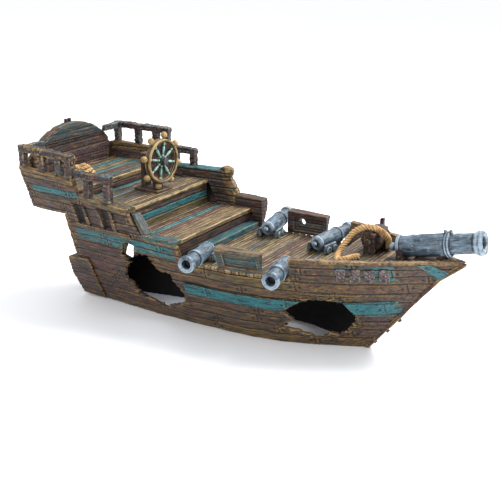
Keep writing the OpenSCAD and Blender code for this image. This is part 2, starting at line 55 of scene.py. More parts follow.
def noise(p, seed=0):
    """Smooth value noise from -1 to 1 at the points p, with cells one unit wide."""
    c = np.floor(p).astype(np.int64)
    f = p - c
    f = f * f * (3 - 2 * f)
    total = 0
    for dx in (0, 1):
        for dy in (0, 1):
            for dz in (0, 1):
                w = (f[:, 0] if dx else 1 - f[:, 0]) * (f[:, 1] if dy else 1 - f[:, 1]) \
                    * (f[:, 2] if dz else 1 - f[:, 2])
                total = total + w * hash01(c[:, 0] + dx, c[:, 1] + dy, c[:, 2] + dz, seed)
    return total * 2 - 1


def fractal(p, seed=0, octaves=3):
    total, size = 0, 1.0
    for i in range(octaves):
        total = total + noise(p / size, seed + i * 17) * size
        size *= 0.5
    return total / (2 - 2 * size)


def row_random(i, seed):
    i = np.asarray(i).astype(np.int64)
    return hash01(i, i * 0 + 3, i * 0 + 5, seed)


def smooth(x, a, b):
    t = np.clip((x - a) / (b - a), 0, 1)
    return t * t * (3 - 2 * t)


def groove(distance, depth, half_width):
    """A rounded groove or pit, as a move along the normal."""
    return -depth * np.exp(-(distance / half_width) ** 2)


def zone(x, z, x0, x1, z0, z1, soft=3.0):
    """1 inside a box of x and z and 0 outside it, with soft ends."""
    return smooth(x, x0 - soft, x0 + soft) * (1 - smooth(x, x1 - soft, x1 + soft)) \
        * smooth(z, z0 - 1.2, z0 + 1.2) * (1 - smooth(z, z1 - 1.2, z1 + 1.2))


# ---------------------------------------------------------------- meshes
def coords(me):
    co = np.zeros(len(me.vertices) * 3)
    me.vertices.foreach_get("co", co)
    return co.reshape(-1, 3) / MM


def set_coords(me, co):
    me.vertices.foreach_set("co", (co * MM).ravel())
    me.update()


def normals(me):
    n = np.zeros(len(me.vertices) * 3)
    me.vertex_normals.foreach_get("vector", n)
    return n.reshape(-1, 3)


def edge_array(me):
    e = np.zeros(len(me.edges) * 2, np.int32)
    me.edges.foreach_get("vertices", e)
    return e.reshape(-1, 2)


def neighbour_mean(values, edges, count):
    total = np.zeros_like(values)
    for k in range(values.shape[1]):
        total[:, k] = np.bincount(edges[:, 0], values[edges[:, 1], k], count) \
            + np.bincount(edges[:, 1], values[edges[:, 0], k], count)
    degree = np.bincount(edges.ravel(), minlength=count)
    return total / np.maximum(degree, 1)[:, None]


def relax(me, times, amount=0.5):
    co, e = coords(me), edge_array(me)
    for _ in range(times):
        co += (neighbour_mean(co, e, len(co)) - co) * amount
    set_coords(me, co)


def ridge_map(me, scale):
    """How far each vertex stands above its surroundings, in units of scale."""
    co, n, e = coords(me), normals(me), edge_array(me)
    low = co.copy()
    near = None
    for i in range(5):
        low = neighbour_mean(low, e, len(co))
        if i == 0:
            near = ((co - low) * n).sum(1)
    far = ((co - low) * n).sum(1)
    return np.clip((near * 1.6 + far * 0.55) / scale, -1, 1)


def put_attributes(me, grain, tint, teal, ridge):
    a = me.attributes.new("g", "FLOAT_VECTOR", "POINT")
    a.data.foreach_set("vector", grain.astype(np.float32).ravel())
    a = me.attributes.new("tint", "FLOAT_COLOR", "POINT")
    rgba = np.ones((len(tint), 4), np.float32)
    rgba[:, :3] = tint
    a.data.foreach_set("color", rgba.ravel())
    for name, values in (("teal", teal), ("ridge", ridge)):
        a = me.attributes.new(name, "FLOAT", "POINT")
        a.data.foreach_set("value", values.astype(np.float32))


def new_object(name, me, material, body="root", replaces=()):
    ob = bpy.data.objects.new(name, me)
    bpy.context.scene.collection.objects.link(ob)
    me.materials.clear()
    me.materials.append(material)
    me.polygons.foreach_set("use_smooth", np.ones(len(me.polygons), bool))
    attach(ob, body)
    if replaces:
        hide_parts(*replaces)
    return ob


def mesh_from(name, verts, faces):
    me = bpy.data.meshes.new(name)
    me.from_pydata([tuple(v) for v in np.asarray(verts) * MM], [], faces)
    me.update()
    return me


def remeshed(sources, voxel):
    """A closed skin with voxel-sized faces around CAD meshes or other meshes."""
    bm = bmesh.new()
    for s in sources:
        bm.from_mesh(s)
    bmesh.ops.remove_doubles(bm, verts=bm.verts, dist=2e-6)
    me = bpy.data.meshes.new("work")
    bm.to_mesh(me)
    bm.free()
    ob = bpy.data.objects.new("work", me)
    bpy.context.scene.collection.objects.link(ob)
    mod = ob.modifiers.new("remesh", "REMESH")
    mod.mode = "VOXEL"
    mod.voxel_size = voxel * MM
    out = bpy.data.meshes.new_from_object(ob.evaluated_get(bpy.context.evaluated_depsgraph_get()))
    bpy.data.objects.remove(ob)
    bpy.data.meshes.remove(me)
    return out


# ---------------------------------------------------------------- materials
def link(nt, a, b):
    nt.links.new(a, b)


def math_node(nt, op, a, b=None):
    n = nt.nodes.new("ShaderNodeMath")
    n.operation = op
    for i, v in enumerate((a, b)):
        if v is None:
            continue
        if isinstance(v, (int, float)):
            n.inputs[i].default_value = v
        else:
            link(nt, v, n.inputs[i])
    return n.outputs[0]


def mix_node(nt, fac, a, b, blend="MIX"):
    n = nt.nodes.new("ShaderNodeMix")
    n.data_type = "RGBA"
    n.blend_type = blend
    for socket, v in ((n.inputs[0], fac), (n.inputs[6], a), (n.inputs[7], b)):
        if isinstance(v, (int, float)):
            socket.default_value = v
        elif isinstance(v, tuple):
            socket.default_value = (*v, 1)
        else:
            link(nt, v, socket)
    return n.outputs[2]


def attribute_node(nt, name, output):
    n = nt.nodes.new("ShaderNodeAttribute")
    n.attribute_name = name
    return n.outputs[output]


def noise_node(nt, vector, scale, detail=4, rough=0.6):
    n = nt.nodes.new("ShaderNodeTexNoise")
    n.inputs["Scale"].default_value = scale
    n.inputs["Detail"].default_value = detail
    n.inputs["Roughness"].default_value = rough
    link(nt, vector, n.inputs["Vector"])
    return n.outputs["Fac"]


def scaled(nt, vector, s):
    n = nt.nodes.new("ShaderNodeVectorMath")
    n.operation = "MULTIPLY"
    link(nt, vector, n.inputs[0])
    n.inputs[1].default_value = s
    return n.outputs[0]


def ramp(nt, value, low, high):
    n = nt.nodes.new("ShaderNodeMapRange")
    n.interpolation_type = "SMOOTHSTEP"
    n.inputs["From Min"].default_value = low
    n.inputs["From Max"].default_value = high
    link(nt, value, n.inputs["Value"])
    return n.outputs["Result"]


def weighted_sum(nt, first, *others):
    """The first value times its weight, plus each other value times its weight."""
    total = math_node(nt, "MULTIPLY", *first)
    for value, weight in others:
        total = math_node(nt, "ADD", total, math_node(nt, "MULTIPLY", value, weight))
    return total


# depth of the painted grain, in metres, and the stray colours that the brush left
GRAIN_DEPTH = 0.0006
RUST_FLECK = (0.10, 0.022, 0.022)
BLUE_FLECK = (0.012, 0.050, 0.070)
OCHRE_FLECK = (0.20, 0.115, 0.022)
PLUM_FLECK = (0.030, 0.014, 0.020)


def painted(name, wash=(0.006, 0.0045, 0.005), dry=(0.26, 0.165, 0.055), dry_amount=0.75,
            teal=(0.006, 0.075, 0.088), teal_light=(0.030, 0.235, 0.255), stretch=0.09, grain_scale=0.75,
            rough=0.6, bump=0.6, spec=0.35, wash_amount=0.95, flecks=0.75, level=0.54):
    """Cast resin painted by hand: a base coat, worn teal, a dark wash and a dry-brushed top."""
    mat = bpy.data.materials.new(name)
    mat.use_nodes = True
    nt = mat.node_tree
    bsdf = nt.nodes["Principled BSDF"]
    g = attribute_node(nt, "g", "Vector")
    tint = attribute_node(nt, "tint", "Color")
    mask = attribute_node(nt, "teal", "Fac")
    ridge = attribute_node(nt, "ridge", "Fac")
    long_grain = noise_node(nt, scaled(nt, g, (stretch, 1, 1)), grain_scale, 6, 0.65)
    fine = noise_node(nt, scaled(nt, g, (0.35, 1, 1)), grain_scale * 2.6, 4, 0.7)
    blotch = noise_node(nt, g, 0.13, 3, 0.5)
    smear = noise_node(nt, scaled(nt, g, (0.22, 1, 1)), 0.42, 5, 0.75)
    tone = ramp(nt, long_grain, 0.32, 0.70)
    # base coat, broken by the grain
    shade = math_node(nt, "MULTIPLY_ADD", tone, 1.45)
    shade.node.inputs[2].default_value = 0.14
    shade = math_node(nt, "MULTIPLY", shade, level)
    base = mix_node(nt, 1.0, tint, shade, "MULTIPLY")
    # stray smears of plum, rust, blue and ochre left by the brush
    speck = noise_node(nt, scaled(nt, g, (0.3, 1, 1)), grain_scale * 1.5, 2, 0.5)
    for value, low, high, colour in ((speck, 0.54, 0.62, RUST_FLECK), (speck, 0.44, 0.35, BLUE_FLECK),
                                     (smear, 0.56, 0.66, OCHRE_FLECK), (smear, 0.44, 0.34, PLUM_FLECK)):
        base = mix_node(nt, math_node(nt, "MULTIPLY", ramp(nt, value, low, high), flecks), base, colour)
    # teal that has worn off ridges and along the grain
    worn = weighted_sum(nt, (long_grain, 0.8), (blotch, 0.35), (smear, 0.5))
    kept = ramp(nt, math_node(nt, "SUBTRACT", math_node(nt, "MULTIPLY", mask, 1.2), worn), 0.0, 0.34)
    paint = mix_node(nt, ramp(nt, fine, 0.40, 0.72), teal, teal_light)
    paint = mix_node(nt, ramp(nt, smear, 0.52, 0.36), paint, tuple(0.30 * c for c in teal))
    base = mix_node(nt, math_node(nt, "MULTIPLY", kept, 0.95), base, paint)
    # dark wash in the hollows and the deepest grain
    hollow = ramp(nt, math_node(nt, "MULTIPLY", ridge, -1.0), 0.04, 0.5)
    cracks = ramp(nt, long_grain, 0.48, 0.33)
    dark = math_node(nt, "MULTIPLY", math_node(nt, "MAXIMUM", hollow, cracks), wash_amount)
    base = mix_node(nt, dark, base, wash)
    # light paint dragged over the ridges
    broken = math_node(nt, "MULTIPLY", math_node(nt, "SUBTRACT", fine, 0.5), 1.7)
    catch = ramp(nt, math_node(nt, "ADD", ridge, broken), 0.10, 0.75)
    spread = ramp(nt, blotch, 0.30, 0.62)
    top = math_node(nt, "MULTIPLY", math_node(nt, "MULTIPLY", catch, spread), dry_amount)
    base = mix_node(nt, top, base, dry)
    link(nt, base, bsdf.inputs["Base Color"])
    gloss = math_node(nt, "MULTIPLY_ADD", fine, 0.25)
    gloss.node.inputs[2].default_value = rough - 0.12
    link(nt, gloss, bsdf.inputs["Roughness"])
    bsdf.inputs["Specular IOR Level"].default_value = spec
    b = nt.nodes.new("ShaderNodeBump")
    b.inputs["Strength"].default_value = bump
    b.inputs["Distance"].default_value = GRAIN_DEPTH
    link(nt, weighted_sum(nt, (long_grain, 0.7), (fine, 0.4)), b.inputs["Height"])
    link(nt, b.outputs["Normal"], bsdf.inputs["Normal"])
    return mat


HULL = painted("hull_planks_paint", dry=(0.27, 0.175, 0.045), dry_amount=0.8)
DARK = painted("dark_timber_paint", dry=(0.17, 0.11, 0.06), dry_amount=0.55, level=0.5)
TRIM = painted("golden_trim_paint", dry=(0.32, 0.21, 0.075), dry_amount=0.7)
TEAL = painted("teal_timber_paint", dry=(0.22, 0.24, 0.17), dry_amount=0.5)
GREY = painted("grey_timber_paint", dry=(0.17, 0.19, 0.17), dry_amount=0.7)
DECK = painted("deck_plank_paint", dry=(0.38, 0.28, 0.14), dry_amount=0.8, teal=(0.008, 0.080, 0.095),
               teal_light=(0.040, 0.26, 0.28), flecks=0.65, level=0.60)
GUN = painted("gun_paint", wash=(0.004, 0.008, 0.014), dry=(0.33, 0.42, 0.50), dry_amount=0.7, stretch=0.13,
              grain_scale=0.8, rough=0.5, bump=0.5, spec=0.45, flecks=0.12, level=0.78)
ROPE = painted("rope_paint", wash=(0.014, 0.006, 0.004), dry=(0.62, 0.40, 0.18), dry_amount=0.85, stretch=0.5,
               grain_scale=1.2, rough=0.6, flecks=0.25, level=0.7)
GOLD = painted("wheel_gold_paint", wash=(0.012, 0.007, 0.004), dry=(0.46, 0.32, 0.13), dry_amount=0.7)
MINT = painted("wheel_green_paint", wash=(0.006, 0.012, 0.012), dry=(0.42, 0.60, 0.52), dry_amount=0.6,
               flecks=0.0, level=0.85)
IRON = painted("iron_paint", wash=(0.004, 0.004, 0.005), dry=(0.10, 0.10, 0.11), dry_amount=0.5, stretch=1,
               rough=0.42, spec=0.5, flecks=0.1)
PLASTIC = painted("inlet_plastic", wash=(0.01, 0.011, 0.012), dry=(0.10, 0.11, 0.12), dry_amount=0.2,
                  stretch=1, rough=0.4, bump=0.12, spec=0.5, wash_amount=0.3, flecks=0.0, level=0.9)
STONE = painted("air_stone_grains", wash=(0.12, 0.115, 0.10), dry=(0.80, 0.78, 0.72), dry_amount=0.8,
                stretch=1, grain_scale=1.6, rough=0.85, bump=0.9, spec=0.2, flecks=0.0, level=0.9)

WALNUT = (0.088, 0.048, 0.028)
PLUM = (0.080, 0.046, 0.046)
OCHRE = (0.220, 0.130, 0.030)
OLIVE = (0.130, 0.105, 0.026)
TAN = (0.270, 0.180, 0.078)
RUST = (0.150, 0.060, 0.038)
SLATE = (0.080, 0.105, 0.110)
BLACK = (0.018, 0.014, 0.013)
WORN_GOLD = (0.34, 0.215, 0.06)
BARE_RESIN = (0.42, 0.30, 0.19)
INK = (0.010, 0.012, 0.03)
RAIL_BROWN = (0.050, 0.040, 0.040)


# ---------------------------------------------------------------- timber
def blended(tint, colour, amount):
    return tint * (1 - amount[:, None]) + np.array(colour) * amount[:, None]


def rail_brush(top, post, top_teal, post_teal):
    """Rails with a lighter, patchy cap over dark posts."""
    def brush(co, n, tint, mask, seed):
        up = smooth(n[:, 2], 0.15, 0.7)
        patch = smooth(noise(co / 7.0, seed + 41), -0.35, 0.35)
        tint = blended(blended(tint, post, np.ones(len(co))), top, up * patch)
        return tint, post_teal * (1 - patch) * (1 - up) + up * (top_teal * (1 - 0.7 * patch))
    return brush


def nosing(edge, colour, deep=2.6):
    """A lighter front edge on a deck."""
    def brush(co, n, tint, mask, seed):
        front = smooth(co[:, 0], edge - deep - 0.6, edge - deep) * (0.75 + 0.25 * noise(co / 5.0, seed + 43))
        return blended(tint, colour, front), mask * (1 - front)
    return brush


def sill_brush(co, n, tint, mask, seed):
    """The outer edge of the main deck is painted like the planking below it."""
    edge = 1 - smooth(n[:, 2], 0.2, 0.6)
    patch = smooth(noise(co / 13.0, seed + 47), -0.4, 0.4)
    strake = blended(np.tile(np.array(WALNUT), (len(co), 1)), OCHRE, patch)
    return tint * (1 - edge[:, None]) + strake * edge[:, None], mask * (1 - edge)


def arch_brush(co, n, tint, mask, seed):
    """Worn gold on the rim of the arch, strongest at its starboard foot."""
    rim = smooth(1 - np.abs(n[:, 0]), 0.3, 0.7) * smooth(co[:, 2], 112, 118)
    foot = smooth(-co[:, 1], 33, 40) * smooth(co[:, 2], 108, 113) * (1 - smooth(co[:, 2], 132, 138))
    patch = smooth(noise(co / 6.0, seed + 48), -0.3, 0.3)
    gold = np.clip(rim * 0.5 * patch + foot * (0.5 + 0.5 * patch), 0, 1)
    mask = np.clip(mask + rim * 0.7 * (1 - patch), 0, 1) * (1 - gold)
    return blended(tint, WORN_GOLD, gold), mask


def carved_brush(co, n, tint, mask, seed):
    stroke = np.sin((co[:, 0] * 1.0 + co[:, 2] * 0.8) * 2.1 + 1.5 * noise(co / 2.5, seed + 44))
    dark = smooth(stroke, 0.1, 0.8)
    low = smooth(-co[:, 2], -63.0, -60.5)
    return blended(blended(tint, (0.035, 0.020, 0.024), dark * 0.9), (0.05, 0.035, 0.03), low * 0.8), mask


def bow_cap_brush(co, n, tint, mask, seed):
    top = smooth(n[:, 2], 0.2, 0.6)
    worn = smooth(noise(co / np.array([6.0, 3.0, 2.0]), seed + 45), -0.5, 0.2)
    side = blended(tint, (0.12, 0.07, 0.03), np.ones(len(co)))
    return blended(side, (0.50, 0.36, 0.22), top * worn), mask + 0.5 * (1 - top) * (worn < 0.2)


def bow_plate_brush(co, n, tint, mask, seed):
    dot = np.exp(-(np.hypot(co[:, 0] - 142.5, (co[:, 2] - 72.2)) / 1.3) ** 4)
    line = np.exp(-((co[:, 0] - 146.6 - (74.6 - co[:, 2]) * 0.78) / 0.7) ** 2)
    dark = np.clip(dot + line * 0.9, 0, 1)
    return blended(tint, INK, dark), mask * (1 - dark)


TIMBER_SEAM_HALF = 0.55


def timber(node, material, voxel, along, across, pitch=0, palette=(WALNUT,), teals=(), seam=0.5,
           grain=0.22, lump=0.25, teal=0.0, seed=1, offset=0.0, edge_wear=0.0, panel=None, cap=None,
           knots=0.0, brush=None, extra=()):
    """A CAD timber with rounded corners, plank seams, grain and the colours of each plank."""
    me = remeshed([NODES[node].data, *extra], voxel)
    relax(me, 1)
    co, n = coords(me), normals(me)
    depth_axis = 3 - along - across
    u, v, w = co[:, along], co[:, across], co[:, depth_axis]
    g = np.stack([u, v, w], 1)
    rows = np.zeros(len(co), int)
    move = lump * noise(co / 9.0, seed) + grain * fractal(g / np.array([16.0, 2.2, 2.2]), seed + 3, 2)
    if knots:
        move += knots * (np.abs(noise(co / 3.4, seed + 31)) + 0.6 * noise(co / 1.8, seed + 32) - 0.2)
    if pitch:
        place = (v - offset) / pitch
        rows = np.floor(place).astype(int)
        d = np.abs(place - np.round(place)) * pitch
        move += groove(d, seam, TIMBER_SEAM_HALF)
        half = np.abs(place - np.floor(place) - 0.3 - 0.4 * row_random(rows, seed + 23)) * pitch
        move += groove(half, 0.32 * seam, 0.4) * (row_random(rows, seed + 24) > 0.35)
        move += 0.18 * (row_random(rows, seed + 21) - 0.5)
    if panel:
        x0, x1, z0, z1 = panel
        inner = (co[:, 0] > x0) & (co[:, 0] < x1) & (co[:, 2] > z0) & (co[:, 2] < z1)
        inner &= np.abs(n[:, 1]) > 0.6
        move = np.where(inner, move - 1.0, move * 0.5)
    set_coords(me, co + n * move[:, None])
    tint = np.array(palette)[(rows - rows.min()) % len(palette)]
    tint = tint * (0.8 + 0.4 * row_random(rows, seed + 5))[:, None]
    mask = np.full(len(co), float(teal))
    if len(teals):
        pattern = np.array(teals, float)
        mask = pattern[(rows - rows.min()) % len(pattern)]
    if cap:
        level, colour = cap
        top = smooth(co[:, 2], level - 0.5, level + 0.5)[:, None]
        tint = tint * (1 - top) + np.array(colour) * top
        mask = mask * (1 - 0.85 * top[:, 0])
    if brush:
        tint, mask = brush(co, n, tint, mask, seed)
    ridge = ridge_map(me, 0.33) + edge_wear
    g = g + 31.0 * row_random(rows, seed + 7)[:, None]
    put_attributes(me, g, tint, mask, ridge)
    return new_object(node + "_timber", me, material, "root", (node,))


# ---------------------------------------------------------------- hull
# depth and half width, in mm, of what is cut into the hull's planking
PLANK_SEAM = (0.75, 0.6)
PLANK_BUTT = (0.6, 0.5)
NAIL_PIT = (0.5, 0.8)
# heights of the seams between the strakes
SEAMS = np.array([0, 8, 16, 23.5, 30.5, 41, 49, 57.5, 64, 70, 76, 83, 90, 96, 102, 108, 113, 130.0])
# corners of each hull half's holes as (x, z)
HOLES = {
    "hull_starboard": [
        [(-97, 31), (-87, 50), (-75, 57), (-65, 57), (-58, 46), (-47, 45), (-44, 38), (-38, 28), (-39, 22),
         (-44, 18), (-56, 14), (-62, 11), (-73, 13), (-84, 17), (-93, 20), (-89, 26)],
        [(44, 31), (60, 41), (71, 43), (87, 41), (92, 33), (93, 27), (91, 22), (87, 17), (79, 12), (74, 12),
         (67, 8), (60, 9), (52, 13), (38, 14), (44, 18), (49, 24)],
        [(-89, 61), (-83, 66), (-78, 64), (-79, 55), (-86, 50), (-91, 53)]],
    "hull_port": [
        [(-144, 25), (-144, 33), (-140, 36), (-135, 34), (-133.5, 28), (-136, 23.5)],
        [(18, 30), (27, 43), (45, 47), (62, 41), (66, 30), (56, 23), (38, 21), (26, 22)]],
}


def outline_distance(x, z, outline):
    best = np.full(len(x), 1e9)
    for (x0, z0), (x1, z1) in zip(outline, outline[1:] + outline[:1]):
        dx, dz = x1 - x0, z1 - z0
        t = np.clip(((x - x0) * dx + (z - z0) * dz) / (dx * dx + dz * dz), 0, 1)
        best = np.minimum(best, np.hypot(x - x0 - t * dx, z - z0 - t * dz))
    return best


def planked(co, n, seed, outer):
    """The hull's planking, as (move along the normal, row number, joint number, distance to a nail)."""
    x, z = co[:, 0], co[:, 2]
    bent = z + 0.5 * noise(np.stack([x / 26, x * 0, x * 0 + 0.5], 1), seed)
    rows = np.searchsorted(SEAMS, bent) - 1
    d = np.min(np.abs(bent[:, None] - SEAMS[None, 1:-1]), 1)
    length = 46 + 40 * row_random(rows, seed + 1)
    shift = 97 * row_random(rows, seed + 2)
    k = np.floor((x + shift) / length)
    e = np.minimum((x + shift) - k * length, (k + 1) * length - (x + shift))
    mid = 0.5 * (SEAMS[np.clip(rows, 0, len(SEAMS) - 2)] + SEAMS[np.clip(rows + 1, 0, len(SEAMS) - 1)])
    nails = np.hypot(e - 3.2, bent - mid)
    move = groove(d, *PLANK_SEAM) + groove(e, *PLANK_BUTT) + groove(nails, *NAIL_PIT)
    move += 0.35 * (row_random(rows * 31 + k.astype(int), seed + 4) - 0.5)
    move += 0.38 * fractal(np.stack([x / 15, z / 1.9, co[:, 1] / 8], 1), seed + 5, 2)
    move += 0.35 * noise(co / 11.0, seed + 6)
    return move * outer, rows, k.astype(int), nails


def hull_tint(co, rows, joints, seed):
    x, z = co[:, 0], co[:, 2]
    key = rows * 31 + joints
    r = row_random(key, seed)
    tint = np.array(WALNUT) + (np.array(PLUM) - np.array(WALNUT)) * r[:, None]
    patch = 0.5 + 0.5 * noise(np.stack([x / 24, z / 8, x * 0], 1), seed + 3)
    gold = zone(x, z, -62, 100, 41, 58, 8) * 0.95 + zone(x, z, -130, 100, -5, 9, 10) * 0.8 \
        + zone(x, z, 55, 150, 44, 61, 8) * 0.8 + zone(x, z, 50, 160, 66, 80, 8) * 0.35 \
        + zone(x, z, -60, 60, 8, 31, 8) * 0.35 + zone(x, z, -180, -118, 86, 96, 6) * 0.35
    gold = np.clip(gold * (0.45 + 0.85 * patch), 0, 1)[:, None]
    warm = np.array(OCHRE) + (np.array(OLIVE) - np.array(OCHRE)) * row_random(key, seed + 8)[:, None]
    tint = tint * (1 - gold) + warm * gold
    rust = (row_random(key, seed + 11) > 0.8)[:, None] * 0.45
    tint = tint * (1 - rust) + np.array(RUST) * rust
    return tint * (0.75 + 0.5 * row_random(key, seed + 12))[:, None]


def thickened(node, sign):
    """A copy of a hull half with its centre plane past the middle, so its thin bow survives remeshing."""
    me = NODES[node].data.copy()
    co = coords(me)
    centre = (np.abs(co[:, 1]) < 0.05) & (co[:, 0] > 60)
    co[centre, 1] = -sign * 1.3
    set_coords(me, co)
    return me


def hull_side(node, sign, seed):
    source = thickened(node, sign)
    me = remeshed([source], 0.85)
    bpy.data.meshes.remove(source)
    relax(me, 1)
    co, n = coords(me), normals(me)
    x, z = co[:, 0].copy(), co[:, 2].copy()
    outer = smooth(n[:, 1] * sign, -0.1, 0.35)
    # broken plank ends: every row of the planking ends a little further on or back
    rows = np.searchsorted(SEAMS, z + 0.6 * noise(co / 5.0, seed)) - 1
    ragged = np.zeros(len(co))
    near = np.full(len(co), 1e9)
    for i, outline in enumerate(HOLES[node]):
        d = outline_distance(x, z, outline)
        reach = np.exp(-(d / 6.0) ** 2)
        ragged += reach * (3.2 * (row_random(rows * 2 + (z * 1.3 % 2 > 1), seed + 40 + i) - 0.5)
                           + 1.2 * noise(np.stack([x / 3, z / 1.6, x * 0 + i], 1), seed + 50))
        near = np.minimum(near, d)
    co[:, 0] += ragged
    co[:, 2] += np.exp(-(near / 4.0) ** 2) * 0.9 * noise(np.stack([x / 2.4, z / 2.4, x * 0], 1), seed + 60)
    co[:, 2] = np.where(z < 0.9, np.maximum(z, 0), co[:, 2])
    move, rows, joints, nails = planked(co, n, seed, np.maximum(outer, 0.25))
    window = (zone(x, z, -128, -119, 75, 91.5, 0.4) + zone(x, z, -101, -91, 75, 91.5, 0.4)) * (outer > 0.5)
    move -= 1.7 * window
    move = np.where(z < 1.0, np.minimum(move, 0), move)
    moved = co + n * move[:, None]
    moved[:, 2] = np.maximum(moved[:, 2], 0)
    set_coords(me, moved)
    tint = hull_tint(co, rows, joints, seed + 70)
    # painted shade: below the deck heights, where no light reaches, the hull's inner face is painted black
    deck = np.interp(x, [-122.1, -122, -73.1, -73, -36.1, -36, 75, 75.1], [101, 92, 92, 73, 73, 58, 58, 69])
    inside = ((1 - smooth(n[:, 1] * sign, -0.75, -0.35)) * (z < deck))[:, None]
    tint = tint * (1 - inside) + np.array(BLACK) * inside
    # the broken edges show bare, lighter resin
    lip = np.exp(-(near / 1.6) ** 2) * (1 - inside[:, 0]) * smooth(x, 20, 45)
    lip = (lip * (0.5 + 0.5 * noise(co / 3.0, seed + 71)))[:, None]
    tint = tint * (1 - lip) + np.array(BARE_RESIN) * lip
    teal = zone(x, z, -172, -120, 95.5, 102.5, 3) + zone(x, z, -138, -34, 59, 70, 4) * 0.95 \
        + zone(x, z, 96, 125, 28, 42, 5) * 0.9 + zone(x, z, 84, 123, 60, 73.5, 2) * 0.8 \
        + zone(x, z, 118, 150, 62, 75, 3) * 0.3 + 0.25 * smooth(noise(co / 14.0, seed + 72), 0.3, 0.8)
    teal = teal * (1 - inside[:, 0]) * (1 - lip[:, 0]) * (1 - window)
    tint = tint * (1 - 0.8 * window[:, None])
    ridge = ridge_map(me, 0.42)
    ridge = np.where(ridge > 0, ridge * 0.7, ridge)
    # the painted shade below the decks also takes the full dark wash through the ridge value
    ridge = ridge - 0.9 * np.exp(-(nails / 0.9) ** 2) * outer - 0.8 * inside[:, 0] - 0.3 * window
    g = np.stack([x, z, co[:, 1]], 1) + 29.0 * row_random(rows * 31 + joints, seed + 73)[:, None]
    put_attributes(me, g, tint, np.clip(teal, 0, 1), ridge)
    return new_object(node + "_planking", me, HULL, "root", (node,))


hull_side("hull_starboard", -1, 11)
hull_side("hull_port", 1, 12)


def hull_skin(node, material, voxel, seed, teal=0.0, gold=0.0, palette=(WALNUT,)):
    """A piece on the hull's side that continues the hull's own planking."""
    me = remeshed([NODES[node].data], voxel)
    relax(me, 1)
    co, n = coords(me), normals(me)
    move, rows, joints, nails = planked(co, n, seed, np.ones(len(co)) * 0.7)
    moved = co + n * move[:, None]
    moved[:, 2] = np.maximum(moved[:, 2], 0)
    set_coords(me, moved)
    key = rows * 31 + joints
    tint = np.array(palette)[(rows + joints) % len(palette)] * (0.75 + 0.5 * row_random(key, seed))[:, None]
    tint = tint * (1 - gold) + np.array(OCHRE) * gold
    ridge = ridge_map(me, 0.4) - 0.8 * np.exp(-(nails / 0.9) ** 2)
    g = np.stack([co[:, 0], co[:, 2], co[:, 1]], 1) + 29.0 * row_random(key, seed + 73)[:, None]
    put_attributes(me, g, tint, np.full(len(co), float(teal)), ridge)
    return new_object(node + "_planks", me, material, "root", (node,))


for s, node in ((21, "wale_starboard"), (22, "wale_port")):
    hull_skin(node, TEAL, 0.5, s, teal=1.0, palette=(WALNUT, PLUM))
hull_skin("stern_skeg", HULL, 0.7, 23, palette=(PLUM, WALNUT, (0.10, 0.072, 0.06)))
hull_skin("poop_strakes", TRIM, 0.6, 24, gold=0.75, palette=(OCHRE, WALNUT))
for s, node in ((25, "gallery_starboard"), (26, "gallery_port")):
    hull_skin(node, TRIM, 0.45, s, gold=0.2, palette=((0.16, 0.11, 0.065), (0.13, 0.09, 0.06)))

X, Y, Z = 0, 1, 2
timber("stern_board", HULL, 0.8, Y, Z, 8, (PLUM, WALNUT), seed=31)
timber("counter_floor", HULL, 0.8, X, Y, 9, (PLUM, WALNUT), seed=32)
timber("transom_board", DARK, 0.6, Y, Z, 6.5, (PLUM, WALNUT, (0.09, 0.05, 0.045)),
       teals=(0.5, 0.15, 0.1, 0.45, 0.2), seed=33, offset=2, knots=0.2, brush=arch_brush)
timber("transom_lunette", TEAL, 0.4, Y, Z, 5.2, ((0.03, 0.055, 0.06),), teal=0.72, seed=34,
       seam=0.35)
timber("transom_knob", DARK, 0.3, Z, X, 0, (BLACK,), seed=35, lump=0.1, grain=0.05)
timber("transom_rails", GREY, 0.45, Y, Z, 0, (SLATE,), teal=0.5, seed=36, knots=0.5)
timber("poop_rail_starboard", TRIM, 0.45, X, Z, 0, seed=37, knots=0.75,
       brush=rail_brush((0.22, 0.13, 0.045), RAIL_BROWN, 0.75, 0.75))
timber("poop_rail_port", GREY, 0.45, X, Z, 0, seed=38, knots=0.75,
       brush=rail_brush((0.12, 0.085, 0.05), (0.050, 0.030, 0.032), 0.8, 0.35))
timber("quarter_rail_starboard", TEAL, 0.4, X, Z, 0, seed=39, knots=0.75,
       brush=rail_brush((0.035, 0.060, 0.075), (0.060, 0.033, 0.036), 0.9, 0.3))
timber("quarter_rail_port", GREY, 0.4, X, Z, 0, seed=40, knots=0.75,
       brush=rail_brush((0.050, 0.030, 0.030), (0.055, 0.028, 0.030), 0.3, 0.3))
timber("quarter_cap_starboard", TRIM, 0.5, X, Z, 0, (OLIVE,), teal=0.6, seed=41, knots=0.4)
timber("quarter_knee_starboard", TEAL, 0.45, Z, Y, 0, (SLATE,), teal=0.7, seed=27)
timber("lower_cap_starboard", TRIM, 0.45, X, Y, 0, ((0.12, 0.09, 0.06),), teal=0.85, seed=43,
       knots=0.4)
timber("waist_bulwark_port", DARK, 0.5, X, Z, 5.5, (WALNUT, PLUM), teals=(0.1, 0.35), seed=44)
timber("poop_deck", DECK, 0.7, Y, X, 6.8, (WALNUT, OLIVE, SLATE, TAN, OLIVE, WALNUT),
       teals=(0.1, 0.1, 0.95, 0.1, 0.9, 0.15, 0.8, 0.1), seed=51, offset=-122, brush=nosing(-122, TAN))
timber("poop_riser", DARK, 0.5, Y, Z, 4.4, (TAN, WALNUT), seed=52, offset=100)
timber("upper_quarterdeck", DECK, 0.7, Y, X, 6.3, (TAN, OLIVE, WALNUT, TAN, OLIVE, SLATE, TAN),
       teals=(0.1, 0.95, 0.25, 0.9, 0.1, 0.2, 0.15, 0.1), seed=53, offset=-124,
       brush=nosing(-73, (0.24, 0.17, 0.06)))
timber("upper_riser", TEAL, 0.5, Y, Z, 5.6, (OLIVE, SLATE, WALNUT), teals=(0.1, 1.0, 0.35),
       seed=54, offset=75.5)
